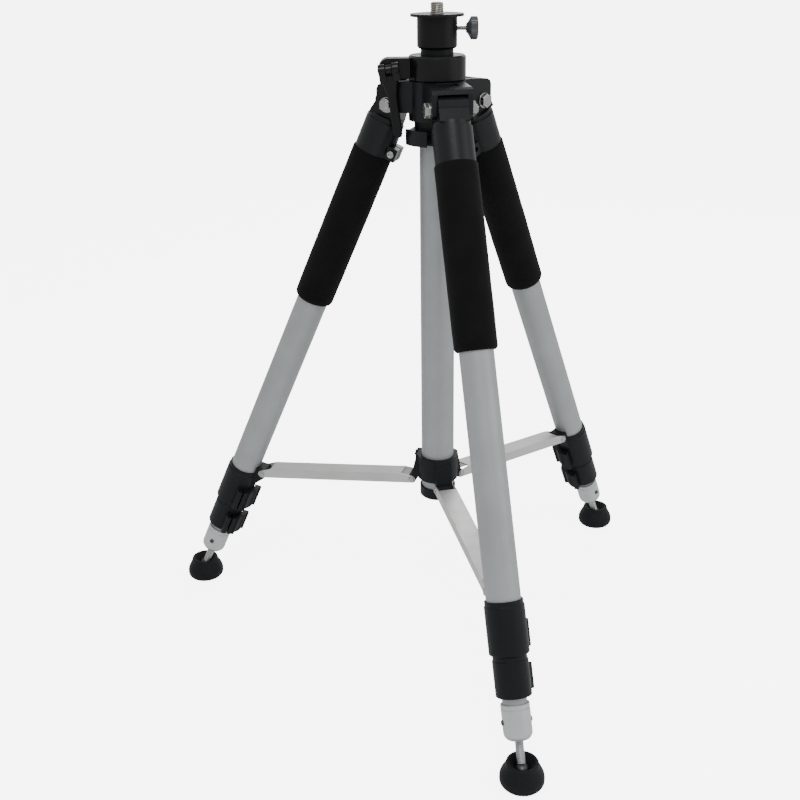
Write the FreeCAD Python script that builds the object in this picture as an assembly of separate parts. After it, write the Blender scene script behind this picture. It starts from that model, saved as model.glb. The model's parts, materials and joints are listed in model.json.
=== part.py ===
import FreeCAD, Part
import math
import os

# Tripod for a laser level, as separate pieces in one shared frame.
# Millimetres. Z is up and the ground is z = 0. The column stands on the Z axis. Leg 1 points to -Y.

# ---- overall sizes ----
SPLAY = 24.0                 # leg angle from the vertical, degrees
LEG_REACH = 743.4            # hinge to foot ball along the leg, sections pushed in
BALL_HEIGHT = 17.8           # foot ball centre above the ground
LEG_TURNS = [-90.0, 30.0, 150.0]
FOLD_LIMIT = 3.0             # how far the legs fold in, degrees
SHAFT_CLEAR = 0.05           # running fit, on the radius
SLIDE_CLEAR = 0.35           # sliding piece in a loosened clamp, on the radius
SIDE_CLEAR = 0.3             # flat faces that pass each other

# ---- adapter and stud ----
STUD_RADIUS = 7.9375
STUD_OUT = 12.6
STUD_CHAMFER = 1.2
STUD_ROOT_RADIUS = 7.0
STUD_ROOT_DEPTH = 4.5
STUD_RELIEF_GAP = 0.5         # counterbore in the flange around the stud
STUD_RELIEF_DEPTH = 0.8
FLANGE_RADIUS = 31.0
FLANGE_THICK = 3.0
DRUM_RADIUS = 23.2
DRUM_HEIGHT = 35.1
DRUM_CHAMFER = 2.0
SPIGOT_RADIUS = 10.0
SPIGOT_GROOVE = 8.5
THUMB_TURN = -13.0
THUMB_DOWN = 16.5
THUMB_SHANK_RADIUS = 2.5
THUMB_REACH = 10.0
KNOB_THICK = 14.0
KNOB_RADIUS = 13.0
KNOB_LOBE_RADIUS = 4.0
KNOB_LOBES = 6

# ---- column ----
COLUMN_RADIUS = 19.0
HINGE_STANDOFF = 35.5        # column surface to hinge axis
HINGE_RADIUS = COLUMN_RADIUS + HINGE_STANDOFF
COLUMN_WALL = 1.4
COLUMN_LENGTH = 470.0
COLUMN_TRAVEL = 300.0
PLUG_CAP_THICK = 6.8
PLUG_DEPTH = 25.0
PLUG_WALL = 3.0
COLUMN_GAP = 0.6
OUTER_WALL = 1.6
OUTER_BELOW_HUB = 18.6
END_PLUG_THICK = 3.0
END_CAP_PROUD = 2.2
END_CAP_UP = 12.0
END_PLUG_DEPTH = 20.0

# ---- clamp ring and cam lever ----
RING_WALL = 14.6
RING_HEIGHT = 28.4
NECK_SHOWN = 7.2
LUG_TURN = 167.0
LUG_HALF_WIDTH = 11.0
LUG_RADIUS = 11.5
LUG_BOLT_OUT = 23.0           # beyond the ring
RING_SLIT = 3.0
CLAMP_BOLT_RADIUS = 3.0
CLAMP_NUT_RADIUS = 8.0
CLAMP_NUT_THICK = 6.0
CAM_RADIUS = 7.0
CAM_WIDTH = 24.0
CAM_PIN_RADIUS = 2.5
CAM_EYE_WIDTH = 7.0
CAM_EYE_RADIUS = 5.5
CAM_LEVER_LENGTH = 78.0
CAM_LEVER_TIP_WIDTH = 12.0
CAM_LEVER_THICK = 6.0
CAM_LEVER_LEAN = 8.0
CAM_LEVER_OPEN = 100.0

# ---- spider ----
SPIDER_ABOVE_HINGE = 27.0
SPIDER_BELOW_HINGE = 18.5
SPIDER_CORE_WALL = 5.8
EAR_BEYOND_HINGE = 12.8
EAR_WALL = 6.2
EAR_BELOW_HINGE = 9.0
EAR_NOSE_ABOVE_HINGE = 25.0
EAR_CORNER = 7.0
ROOF_THICK = 7.4
ROOF_POCKET = 2.0
ROOF_POCKET_LENGTH = 16.0
SKIRT_PROUD = 5.5
SKIRT_WALL = 3.5
SKIRT_HEIGHT = 18.0
SKIRT_WINDOW = 9.0
SKIRT_FLOOR = 4.0
HINGE_BOLT_RADIUS = 5.0
HINGE_HEX_FLATS = 15.0
HINGE_HEAD_THICK = 5.0
HINGE_WASHER_RADIUS = 9.0
HINGE_WASHER_THICK = 1.5
HINGE_NUT_THICK = 5.0

# ---- leg casting and grip ----
KNUCKLE_HALF_WIDTH = 17.5
KNUCKLE_RADIUS = 16.0
KNUCKLE_BROW = [(8.3, 13.7), (15.3, 10.2), (18.2, 5.5), (17.5, -1.2), (14.6, -6.5), (0.0, 0.0)]
SLEEVE_WALL = 3.5
SLEEVE_STEP_WALL = 2.0
SLEEVE_TOP = 16.0
SLEEVE_STEP = 6.0
SLEEVE_BOTTOM = 62.6
TUBE_TOP = 20.0
PINCH_OFF_TUBE = 5.0
PINCH_AT = 54.0
PINCH_LUG_OFF_TUBE = 11.0
PINCH_LUG_HALF_WIDTH = 14.0
PINCH_SCREW_RADIUS = 3.0
PINCH_HEAD_RADIUS = 4.3
PINCH_HEAD_THICK = 4.0
PINCH_HEX_FLATS = 4.5
PINCH_SLIT = 2.5
GRIP_FOAM = 5.0
GRIP_LENGTH = 212.3
GRIP_ROUND = 4.0

# ---- leg tubes ----
UPPER_RADIUS = 20.0
TUBE_WALL = 1.4
TUBE_SPACE = 1.6             # between one leg tube and the next, on the radius
MID_TOP = 130.0
LOWER_TOP = 180.0
MID_TRAVEL = 350.0
LOWER_TRAVEL = 350.0

# ---- section clamps ----
UPPER_CLAMP_WALL = 3.0
UPPER_CLAMP_LENGTH = 60.0
LOWER_CLAMP_WALL = 3.5
LOWER_CLAMP_LENGTH = 46.0
UPPER_CLAMP_GRIP = 26.0      # length of each clamp glued on its own tube
LOWER_CLAMP_GRIP = 14.0
CLAMP_RIM = 1.0
CLAMP_RIM_LENGTH = 5.0
SECTION_GAP = 0.8
LOWER_TUBE_SHOWN = 7.9
LATCH_TURN = 125.0
LATCH_HALF_WIDTH = 7.0
LATCH_OUT = 9.0
LATCH_SLIT = 2.5
LATCH_PIN_RADIUS = 1.5
LATCH_THICK = 4.0
LATCH_WRAP = 6.5
LATCH_TAB = 9.0              # finger tab beyond the collar
LATCH_SWEEP = 55.0
LATCH_OPEN = 100.0

# ---- spreader ----
ARM_PIVOT_ABOVE_CLAMP = 6.0
ARM_PIVOT_OFF_TUBE = 8.7
ARM_DROP = 5.4               # slope of the arms with the legs open, degrees
ARM_HALF_WIDTH = 12.5
ARM_TOP = 8.0                # channel above its pivots
ARM_EAR_RADIUS = 5.0         # rounded ends, and channel below its pivots
ARM_SHEET = 1.5
ARM_WEB_BACK = 14.0
HUB_WALL = 5.3
HUB_PIVOT_OUT = 6.9          # beyond the hub's ring
HUB_UP = 37.0
HUB_DOWN = -5.0              # the ring ends above its pivots
LUG_END_RADIUS = 6.0
PIVOT_PIN_RADIUS = 2.5
PIVOT_HEAD_RADIUS = 4.0
PIVOT_HEAD_THICK = 1.5
HUB_SCREW_TURN = 115.0
HUB_SCREW_UP = 24.0
HUB_SCREW_RADIUS = 2.5
HUB_BOSS_RADIUS = 6.0
HUB_BOSS_PROUD = 4.5
HUB_KNOB_RADIUS = 7.5
HUB_KNOB_THICK = 10.0

# ---- foot ----
FERRULE_WALL = 2.5
FERRULE_LENGTH = 40.0
FERRULE_CHAMFER = 3.0
FERRULE_FLOOR = 10.0
ROD_RADIUS = 5.0
ROD_SHOWN = 34.8
ROD_IN = 30.0
BALL_RADIUS = 9.0
BALL_CLEAR = 0.3
FOOT_BASE_RADIUS = 25.5
FOOT_RIM_RADIUS = 18.0
FOOT_HEIGHT = 30.0
FOOT_SOLE_RADIUS = 22.0
FOOT_WIDE_LOW = 5.0
FOOT_WIDE_HIGH = 12.0
FOOT_SHOULDER = 5.0
FOOT_MOUTH_RADIUS = 15.0
SOCKET_ABOVE_BALL = 4.0

# ---- places worked out from the sizes ----
OUTER_RADIUS = COLUMN_RADIUS + COLUMN_GAP + OUTER_WALL
RING_RADIUS = COLUMN_RADIUS + RING_WALL
LUG_BOLT_RADIUS = RING_RADIUS + LUG_BOLT_OUT
SPIDER_RADIUS = RING_RADIUS
SPIDER_CORE_RADIUS = OUTER_RADIUS + SPIDER_CORE_WALL
EAR_OUT = HINGE_RADIUS + EAR_BEYOND_HINGE
EAR_GAP = KNUCKLE_HALF_WIDTH + SIDE_CLEAR
EAR_HALF_WIDTH = EAR_GAP + EAR_WALL
SKIRT_RADIUS = SPIDER_RADIUS + SKIRT_PROUD
SLEEVE_RADIUS = UPPER_RADIUS + SLEEVE_WALL
SLEEVE_STEP_RADIUS = UPPER_RADIUS + SLEEVE_STEP_WALL
PINCH_IN = UPPER_RADIUS + PINCH_OFF_TUBE
PINCH_LUG_IN = UPPER_RADIUS + PINCH_LUG_OFF_TUBE
GRIP_RADIUS = UPPER_RADIUS + GRIP_FOAM
MID_RADIUS = UPPER_RADIUS - TUBE_WALL - TUBE_SPACE
LOWER_RADIUS = MID_RADIUS - TUBE_WALL - TUBE_SPACE
UPPER_CLAMP_RADIUS = UPPER_RADIUS + UPPER_CLAMP_WALL
LOWER_CLAMP_RADIUS = MID_RADIUS + LOWER_CLAMP_WALL
FERRULE_RADIUS = LOWER_RADIUS + FERRULE_WALL
HUB_RADIUS = OUTER_RADIUS + HUB_WALL
HUB_PIVOT_RADIUS = HUB_RADIUS + HUB_PIVOT_OUT
HUB_BOSS_OUT = HUB_RADIUS + HUB_BOSS_PROUD

SPLAY_RAD = math.radians(SPLAY)
HINGE_HEIGHT = BALL_HEIGHT + LEG_REACH * math.cos(SPLAY_RAD)
FOOT_CENTRE = HINGE_RADIUS + LEG_REACH * math.sin(SPLAY_RAD)
SPIDER_TOP = HINGE_HEIGHT + SPIDER_ABOVE_HINGE
RING_TOP = SPIDER_TOP + RING_HEIGHT
DRUM_BOTTOM = RING_TOP + NECK_SHOWN
FLANGE_BOTTOM = DRUM_BOTTOM + DRUM_HEIGHT
FLANGE_TOP = FLANGE_BOTTOM + FLANGE_THICK
STUD_RELIEF_RADIUS = STUD_RADIUS + STUD_RELIEF_GAP
STUD_TOP = FLANGE_TOP + STUD_OUT
THUMB_HEIGHT = FLANGE_TOP - THUMB_DOWN
PLUG_TOP = DRUM_BOTTOM - 2.0 * SIDE_CLEAR
COLUMN_TOP = PLUG_TOP - PLUG_CAP_THICK
LUG_HEIGHT = SPIDER_TOP + RING_HEIGHT / 2.0
CAM_OFF = LUG_HALF_WIDTH + CAM_RADIUS + SLIDE_CLEAR

FERRULE_BOTTOM = LEG_REACH - ROD_SHOWN
FERRULE_TOP = FERRULE_BOTTOM - FERRULE_LENGTH
LOWER_CLAMP_BOTTOM = FERRULE_TOP - LOWER_TUBE_SHOWN
LOWER_CLAMP_TOP = LOWER_CLAMP_BOTTOM - LOWER_CLAMP_LENGTH
UPPER_CLAMP_BOTTOM = LOWER_CLAMP_TOP - SECTION_GAP
UPPER_CLAMP_TOP = UPPER_CLAMP_BOTTOM - UPPER_CLAMP_LENGTH
UPPER_END = UPPER_CLAMP_TOP + UPPER_CLAMP_GRIP
MID_END = LOWER_CLAMP_TOP + LOWER_CLAMP_GRIP
LOWER_END = FERRULE_BOTTOM - FERRULE_FLOOR
GRIP_TOP = SLEEVE_BOTTOM
GRIP_BOTTOM = GRIP_TOP + GRIP_LENGTH

ARM_PIVOT_AT = UPPER_CLAMP_TOP - ARM_PIVOT_ABOVE_CLAMP
ARM_PIVOT_IN = UPPER_RADIUS + ARM_PIVOT_OFF_TUBE
ARM_FAR_RADIUS = (HINGE_RADIUS + ARM_PIVOT_AT * math.sin(SPLAY_RAD)
                  - ARM_PIVOT_IN * math.cos(SPLAY_RAD))
ARM_FAR_HEIGHT = (HINGE_HEIGHT - ARM_PIVOT_AT * math.cos(SPLAY_RAD)
                  - ARM_PIVOT_IN * math.sin(SPLAY_RAD))
ARM_LENGTH = (ARM_FAR_RADIUS - HUB_PIVOT_RADIUS) / math.cos(math.radians(ARM_DROP))
LATCH_PIN_SIDE = LATCH_HALF_WIDTH + SIDE_CLEAR + LATCH_THICK / 2.0
HUB_HEIGHT = ARM_FAR_HEIGHT + ARM_LENGTH * math.sin(math.radians(ARM_DROP))
OUTER_BOTTOM = HUB_HEIGHT - OUTER_BELOW_HUB
END_CAP_RADIUS = OUTER_RADIUS + END_CAP_PROUD
ARM_TONGUE = ARM_HALF_WIDTH - ARM_SHEET - SIDE_CLEAR

# ---- shapes ----
AXES = {"x": FreeCAD.Vector(1, 0, 0), "y": FreeCAD.Vector(0, 1, 0), "z": FreeCAD.Vector(0, 0, 1)}
ORIGIN = FreeCAD.Vector(0, 0, 0)


def rod(axis, radius, start, end, at=(0.0, 0.0, 0.0)):
    """A cylinder along one axis, from start to end, on a line through the point at."""
    base = FreeCAD.Vector(*at) + AXES[axis] * start
    return Part.makeCylinder(radius, end - start, base, AXES[axis])


def pipe(outer, inner, low, high):
    return rod("z", outer, low, high).cut(rod("z", inner, low - 1.0, high + 1.0))


def block(x_range, y_range, z_range):
    corner = FreeCAD.Vector(x_range[0], y_range[0], z_range[0])
    return Part.makeBox(x_range[1] - x_range[0], y_range[1] - y_range[0],
                        z_range[1] - z_range[0], corner)


def side_plate(points, half_width):
    """A plate whose outline is given as x, z pairs, centred on y = 0."""
    ring = [FreeCAD.Vector(x, -half_width, z) for x, z in points]
    face = Part.Face(Part.makePolygon(ring + [ring[0]]))
    return face.extrude(FreeCAD.Vector(0, 2.0 * half_width, 0))


def turned(points):
    """A solid turned about Z from radius, height pairs."""
    ring = [FreeCAD.Vector(r, 0, z) for r, z in points]
    face = Part.Face(Part.makePolygon(ring + [ring[0]]))
    return face.revolve(ORIGIN, AXES["z"], 360)


def hexagon(axis, flats, start, end, at=(0.0, 0.0, 0.0)):
    """A hexagonal prism along one axis."""
    corner = flats / math.sqrt(3.0)
    first = AXES["y"] if axis == "x" else AXES["z"] if axis == "y" else AXES["x"]
    second = AXES[axis].cross(first)
    base = FreeCAD.Vector(*at) + AXES[axis] * start
    ring = []
    for step in range(6):
        angle = math.radians(60.0 * step)
        ring.append(base + first * (corner * math.cos(angle)) + second * (corner * math.sin(angle)))
    face = Part.Face(Part.makePolygon(ring + [ring[0]]))
    return face.extrude(AXES[axis] * (end - start))


def joined(shapes):
    result = shapes[0]
    for shape in shapes[1:]:
        result = result.fuse(shape)
    return result.removeSplitter()


def turn(shape, axis, degrees, centre=ORIGIN):
    copy = shape.copy()
    copy.rotate(centre, AXES[axis], degrees)
    return copy


def shift(shape, x=0.0, y=0.0, z=0.0):
    copy = shape.copy()
    copy.translate(FreeCAD.Vector(x, y, z))
    return copy


def on_leg(shape, leg):
    """Leg frame to row frame: Z runs up the leg from the hinge, X points outwards."""
    leaned = turn(shape, "y", -SPLAY)
    return turn(shift(leaned, HINGE_RADIUS, 0.0, HINGE_HEIGHT), "z", LEG_TURNS[leg])


def around(shape, leg):
    """Radial frame to row frame: X points outwards along the leg's direction."""
    return turn(shape, "z", LEG_TURNS[leg])


def down_leg(radius, start, end):
    """A cylinder on the leg axis between two distances from the hinge."""
    return rod("z", radius, -end, -start)


def rounded(shape, radius, height, size):
    """Rounds the circular edge of one radius at one height."""
    chosen = []
    for edge in shape.Edges:
        curve = edge.Curve
        if isinstance(curve, Part.Circle) and abs(curve.Radius - radius) < 0.01:
            if abs(curve.Center.z - height) < 0.01:
                chosen.append(edge)
    return shape.makeFillet(size, chosen)


def save(node, shape):
    shape.exportStep("parts/" + node + ".step")


os.makedirs("parts", exist_ok=True)


# ---- stud and adapter ----
stud = turned([(0, FLANGE_TOP - STUD_ROOT_DEPTH), (STUD_ROOT_RADIUS, FLANGE_TOP - STUD_ROOT_DEPTH),
               (STUD_ROOT_RADIUS, FLANGE_TOP), (STUD_RADIUS, FLANGE_TOP),
               (STUD_RADIUS, STUD_TOP - STUD_CHAMFER), (STUD_RADIUS - STUD_CHAMFER, STUD_TOP),
               (0, STUD_TOP)])
save("threaded_stud", stud)

SPIGOT_TOP = THUMB_HEIGHT + 6.0
BORE_TOP = SPIGOT_TOP + 2.0 * SIDE_CLEAR
adapter = turned([(0, BORE_TOP), (SPIGOT_RADIUS + SHAFT_CLEAR, BORE_TOP),
                  (SPIGOT_RADIUS + SHAFT_CLEAR, DRUM_BOTTOM), (DRUM_RADIUS - DRUM_CHAMFER, DRUM_BOTTOM),
                  (DRUM_RADIUS, DRUM_BOTTOM + DRUM_CHAMFER), (DRUM_RADIUS, FLANGE_BOTTOM),
                  (FLANGE_RADIUS, FLANGE_BOTTOM), (FLANGE_RADIUS, FLANGE_TOP),
                  (STUD_RELIEF_RADIUS, FLANGE_TOP), (STUD_RELIEF_RADIUS, FLANGE_TOP - STUD_RELIEF_DEPTH),
                  (STUD_ROOT_RADIUS, FLANGE_TOP - STUD_RELIEF_DEPTH),
                  (STUD_ROOT_RADIUS, FLANGE_TOP - STUD_ROOT_DEPTH), (0, FLANGE_TOP - STUD_ROOT_DEPTH)])
thumb_line = (0.0, 0.0, THUMB_HEIGHT)
thumb_hole = rod("x", THUMB_SHANK_RADIUS + SHAFT_CLEAR, 0.0, DRUM_RADIUS + 1.0, thumb_line)
save("adapter_body", adapter.cut(turn(thumb_hole, "z", THUMB_TURN)))

KNOB_START = DRUM_RADIUS + THUMB_REACH
KNOB_END = KNOB_START + KNOB_THICK
shank = rod("x", THUMB_SHANK_RADIUS, SPIGOT_GROOVE + SLIDE_CLEAR, KNOB_END - 2.0, thumb_line)
save("thumbscrew_shank", turn(shank, "z", THUMB_TURN))

knob_core = KNOB_RADIUS - KNOB_LOBE_RADIUS
knob_hub = turned([(0, 0), (5.0, 0), (knob_core, 4.5), (knob_core, KNOB_THICK), (0, KNOB_THICK)])
knob_parts = [knob_hub]
for lobe in range(KNOB_LOBES):
    lobe_turn = 360.0 / KNOB_LOBES * lobe
    petal = rod("z", KNOB_LOBE_RADIUS, 4.0, KNOB_THICK - 0.6, (knob_core, 0.0, 0.0))
    knob_parts.append(turn(petal, "z", lobe_turn))
knob = turn(joined(knob_parts), "y", 90.0)
knob = shift(knob, KNOB_START, 0.0, THUMB_HEIGHT)
save("thumbscrew_knob", turn(knob.cut(shank), "z", THUMB_TURN))

# ---- sliding column ----
COLUMN_INNER = COLUMN_RADIUS - COLUMN_WALL
save("column_tube", pipe(COLUMN_RADIUS, COLUMN_INNER, COLUMN_TOP - COLUMN_LENGTH, COLUMN_TOP))
plug = turned([(0, COLUMN_TOP), (COLUMN_INNER - PLUG_WALL, COLUMN_TOP),
               (COLUMN_INNER - PLUG_WALL, COLUMN_TOP - PLUG_DEPTH),
               (COLUMN_INNER, COLUMN_TOP - PLUG_DEPTH), (COLUMN_INNER, COLUMN_TOP),
               (COLUMN_RADIUS, COLUMN_TOP), (COLUMN_RADIUS, PLUG_TOP), (SPIGOT_RADIUS, PLUG_TOP),
               (SPIGOT_RADIUS, THUMB_HEIGHT - 3.2), (SPIGOT_GROOVE, THUMB_HEIGHT - 3.2),
               (SPIGOT_GROOVE, THUMB_HEIGHT + 3.2), (SPIGOT_RADIUS, THUMB_HEIGHT + 3.2),
               (SPIGOT_RADIUS, SPIGOT_TOP), (0, SPIGOT_TOP)])
save("column_top_plug", plug)

OUTER_INNER = OUTER_RADIUS - OUTER_WALL
save("centre_tube", pipe(OUTER_RADIUS, OUTER_INNER, OUTER_BOTTOM, SPIDER_TOP))
end_plug = turned([(0, OUTER_BOTTOM - END_PLUG_THICK), (END_CAP_RADIUS - 1.5, OUTER_BOTTOM - END_PLUG_THICK),
                   (END_CAP_RADIUS, OUTER_BOTTOM - END_PLUG_THICK + 1.5),
                   (END_CAP_RADIUS, OUTER_BOTTOM + END_CAP_UP), (OUTER_RADIUS, OUTER_BOTTOM + END_CAP_UP),
                   (OUTER_RADIUS, OUTER_BOTTOM),
                   (OUTER_INNER, OUTER_BOTTOM), (OUTER_INNER, OUTER_BOTTOM + END_PLUG_DEPTH),
                   (OUTER_INNER - PLUG_WALL, OUTER_BOTTOM + END_PLUG_DEPTH),
                   (OUTER_INNER - PLUG_WALL, OUTER_BOTTOM), (0, OUTER_BOTTOM)])
save("tube_end_plug", end_plug)

# ---- clamp ring with its bolt and cam lever ----
lug_line = (LUG_BOLT_RADIUS, 0.0, LUG_HEIGHT)
lug_low = LUG_HEIGHT - LUG_RADIUS
lug_high = LUG_HEIGHT + LUG_RADIUS
ring_body = joined([
    turned([(0, SPIDER_TOP), (RING_RADIUS - 1.5, SPIDER_TOP), (RING_RADIUS, SPIDER_TOP + 1.5),
            (RING_RADIUS, RING_TOP - 2.0), (RING_RADIUS - 2.0, RING_TOP), (0, RING_TOP)]),
    block((RING_RADIUS - 8.0, LUG_BOLT_RADIUS), (-LUG_HALF_WIDTH, LUG_HALF_WIDTH), (lug_low, lug_high)),
    rod("y", LUG_RADIUS, -LUG_HALF_WIDTH, LUG_HALF_WIDTH, lug_line)])
ring_body = ring_body.cut(rod("z", COLUMN_RADIUS + SLIDE_CLEAR, SPIDER_TOP - 1.0, RING_TOP + 1.0))
ring_body = ring_body.cut(block((COLUMN_RADIUS - 4.0, LUG_BOLT_RADIUS + LUG_RADIUS + 1.0),
                                (-RING_SLIT / 2.0, RING_SLIT / 2.0), (SPIDER_TOP - 1.0, RING_TOP + 1.0)))
ring_body = ring_body.cut(rod("y", CLAMP_BOLT_RADIUS, -40.0, 40.0, lug_line))
save("clamp_ring", turn(ring_body, "z", LUG_TURN))

eye_line = (LUG_BOLT_RADIUS, CAM_OFF, LUG_HEIGHT)
clamp_bolt = joined([
    rod("y", CLAMP_BOLT_RADIUS, -LUG_HALF_WIDTH - CLAMP_NUT_THICK - 2.0, CAM_OFF, lug_line),
    rod("y", CLAMP_NUT_RADIUS, -LUG_HALF_WIDTH - CLAMP_NUT_THICK, -LUG_HALF_WIDTH, lug_line),
    rod("x", CAM_EYE_RADIUS, -CAM_EYE_WIDTH / 2.0, CAM_EYE_WIDTH / 2.0, eye_line)])
clamp_bolt = clamp_bolt.cut(rod("x", CAM_PIN_RADIUS + SHAFT_CLEAR, -20.0, 20.0, eye_line))
lean_centre = FreeCAD.Vector(*eye_line)
clamp_bolt_leaned = turn(clamp_bolt, "y", CAM_LEVER_LEAN, lean_centre)
save("clamp_bolt", turn(clamp_bolt_leaned, "z", LUG_TURN))

slot_half = CAM_EYE_WIDTH / 2.0 + SIDE_CLEAR
cam_low = LUG_HEIGHT - CAM_LEVER_LENGTH
back = CAM_OFF - 2.0
front = back + CAM_LEVER_THICK
handle_outline = [
    FreeCAD.Vector(LUG_BOLT_RADIUS - CAM_WIDTH / 2.0, back, LUG_HEIGHT),
    FreeCAD.Vector(LUG_BOLT_RADIUS - CAM_WIDTH / 2.0, back, LUG_HEIGHT - 16.0),
    FreeCAD.Vector(LUG_BOLT_RADIUS - CAM_LEVER_TIP_WIDTH / 2.0, back, LUG_HEIGHT - 34.0),
    FreeCAD.Vector(LUG_BOLT_RADIUS - CAM_LEVER_TIP_WIDTH / 2.0, back, cam_low + 4.0),
    FreeCAD.Vector(LUG_BOLT_RADIUS - CAM_LEVER_TIP_WIDTH / 2.0 + 4.0, back, cam_low),
    FreeCAD.Vector(LUG_BOLT_RADIUS + CAM_LEVER_TIP_WIDTH / 2.0 - 4.0, back, cam_low),
    FreeCAD.Vector(LUG_BOLT_RADIUS + CAM_LEVER_TIP_WIDTH / 2.0, back, cam_low + 4.0),
    FreeCAD.Vector(LUG_BOLT_RADIUS + CAM_LEVER_TIP_WIDTH / 2.0, back, LUG_HEIGHT - 34.0),
    FreeCAD.Vector(LUG_BOLT_RADIUS + CAM_WIDTH / 2.0, back, LUG_HEIGHT - 16.0),
    FreeCAD.Vector(LUG_BOLT_RADIUS + CAM_WIDTH / 2.0, back, LUG_HEIGHT)]
handle = Part.Face(Part.makePolygon(handle_outline + [handle_outline[0]]))
handle = handle.extrude(FreeCAD.Vector(0, CAM_LEVER_THICK, 0))
barrel = rod("x", CAM_RADIUS, -CAM_WIDTH / 2.0, CAM_WIDTH / 2.0, eye_line)
cam = handle.fuse(barrel)
cam = cam.cut(block((LUG_BOLT_RADIUS - slot_half, LUG_BOLT_RADIUS + slot_half), (0.0, 60.0),
                    (LUG_HEIGHT - CAM_RADIUS - 2.0, LUG_HEIGHT + 20.0)))
cam = joined([cam, rod("x", CAM_PIN_RADIUS, -CAM_WIDTH / 2.0, CAM_WIDTH / 2.0, eye_line)])
cam = turn(cam, "y", CAM_LEVER_LEAN, lean_centre)
save("cam_lever", turn(cam, "z", LUG_TURN))

# ---- spider ----
ear_low = HINGE_HEIGHT - EAR_BELOW_HINGE
ear_high = HINGE_HEIGHT + EAR_NOSE_ABOVE_HINGE
spider_low = HINGE_HEIGHT - SPIDER_BELOW_HINGE
skirt_high = spider_low - SKIRT_WINDOW
skirt_low = skirt_high - SKIRT_HEIGHT
spider = joined([
    rod("z", SPIDER_RADIUS, spider_low, SPIDER_TOP),
    rod("z", SPIDER_CORE_RADIUS, skirt_low, spider_low),
    pipe(SKIRT_RADIUS, SKIRT_RADIUS - SKIRT_WALL, skirt_low, skirt_high),
    pipe(SKIRT_RADIUS - SKIRT_WALL / 2.0, SPIDER_CORE_RADIUS - 1.0, skirt_high - SKIRT_FLOOR, skirt_high)])
ear_outline = [(0.0, SPIDER_TOP), (SPIDER_RADIUS, SPIDER_TOP), (EAR_OUT - EAR_CORNER, ear_high),
               (EAR_OUT - EAR_CORNER * 0.3, ear_high - EAR_CORNER * 0.3), (EAR_OUT, ear_high - EAR_CORNER),
               (EAR_OUT, ear_low + 4.0), (EAR_OUT - 4.0, ear_low), (0.0, ear_low)]
ears = [around(side_plate(ear_outline, EAR_HALF_WIDTH), leg) for leg in range(3)]
spider = joined([spider] + ears)
roof_low = ear_high - ROOF_THICK
slot_outline = [(SPIDER_RADIUS + 2.0, spider_low - 1.0), (EAR_OUT + 5.0, spider_low - 1.0),
                (EAR_OUT + 5.0, ear_high - EAR_CORNER), (EAR_OUT - EAR_CORNER * 0.6, roof_low),
                (SPIDER_RADIUS + 2.0, roof_low)]
hinge_line = (HINGE_RADIUS, 0.0, HINGE_HEIGHT)
pocket = block((SPIDER_RADIUS + 2.0, SPIDER_RADIUS + 2.0 + ROOF_POCKET_LENGTH),
               (-EAR_HALF_WIDTH / 2.0, EAR_HALF_WIDTH / 2.0), (ear_high - ROOF_POCKET, SPIDER_TOP + 1.0))
gate = block((SPIDER_CORE_RADIUS + 1.0, EAR_OUT), (-EAR_HALF_WIDTH + 3.0, EAR_HALF_WIDTH - 3.0),
             (skirt_low - 1.0, spider_low))
for leg in range(3):
    spider = spider.cut(around(side_plate(slot_outline, EAR_GAP), leg))
    spider = spider.cut(around(pocket, leg))
    spider = spider.cut(around(gate, leg))
    spider = spider.cut(around(rod("y", HINGE_BOLT_RADIUS, -40.0, 40.0, hinge_line), leg))
spider = spider.cut(rod("z", OUTER_RADIUS, skirt_low - 1.0, SPIDER_TOP + 1.0))
save("spider", spider)

bolts = []
washer_out = EAR_HALF_WIDTH + HINGE_WASHER_THICK
for leg in range(3):
    bolt = joined([
        rod("y", HINGE_BOLT_RADIUS, -washer_out - 1.0, washer_out + HINGE_NUT_THICK + 1.5, hinge_line),
        rod("y", HINGE_WASHER_RADIUS, -washer_out, -EAR_HALF_WIDTH, hinge_line),
        rod("y", HINGE_WASHER_RADIUS, EAR_HALF_WIDTH, washer_out, hinge_line),
        hexagon("y", HINGE_HEX_FLATS, -washer_out - HINGE_HEAD_THICK, -washer_out, hinge_line),
        hexagon("y", HINGE_HEX_FLATS, washer_out, washer_out + HINGE_NUT_THICK, hinge_line)])
    bolts.append(around(bolt, leg))
save("hinge_bolts", Part.makeCompound(bolts))

# ---- spreader hub and arms ----
hub = rod("z", HUB_RADIUS, HUB_HEIGHT - HUB_DOWN, HUB_HEIGHT + HUB_UP)
hub_pins = []
pin_line = (HUB_PIVOT_RADIUS, 0.0, HUB_HEIGHT)
for leg in range(3):
    tongue = side_plate([(OUTER_RADIUS, HUB_HEIGHT - HUB_DOWN), (HUB_RADIUS, HUB_HEIGHT - HUB_DOWN),
                         (HUB_PIVOT_RADIUS, HUB_HEIGHT - LUG_END_RADIUS),
                         (HUB_PIVOT_RADIUS, HUB_HEIGHT + LUG_END_RADIUS),
                         (HUB_RADIUS, HUB_HEIGHT + HUB_UP), (OUTER_RADIUS, HUB_HEIGHT + HUB_UP)],
                        ARM_TONGUE)
    tongue = tongue.fuse(rod("y", LUG_END_RADIUS, -ARM_TONGUE, ARM_TONGUE, pin_line))
    hub = hub.fuse(around(tongue, leg))
    pin = joined([
        rod("y", PIVOT_PIN_RADIUS, -ARM_HALF_WIDTH - 1.0, ARM_HALF_WIDTH + 1.0, pin_line),
        rod("y", PIVOT_HEAD_RADIUS, ARM_HALF_WIDTH + SIDE_CLEAR,
            ARM_HALF_WIDTH + SIDE_CLEAR + PIVOT_HEAD_THICK, pin_line),
        rod("y", PIVOT_HEAD_RADIUS, -ARM_HALF_WIDTH - SIDE_CLEAR - PIVOT_HEAD_THICK,
            -ARM_HALF_WIDTH - SIDE_CLEAR, pin_line)])
    hub_pins.append(around(pin, leg))
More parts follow.
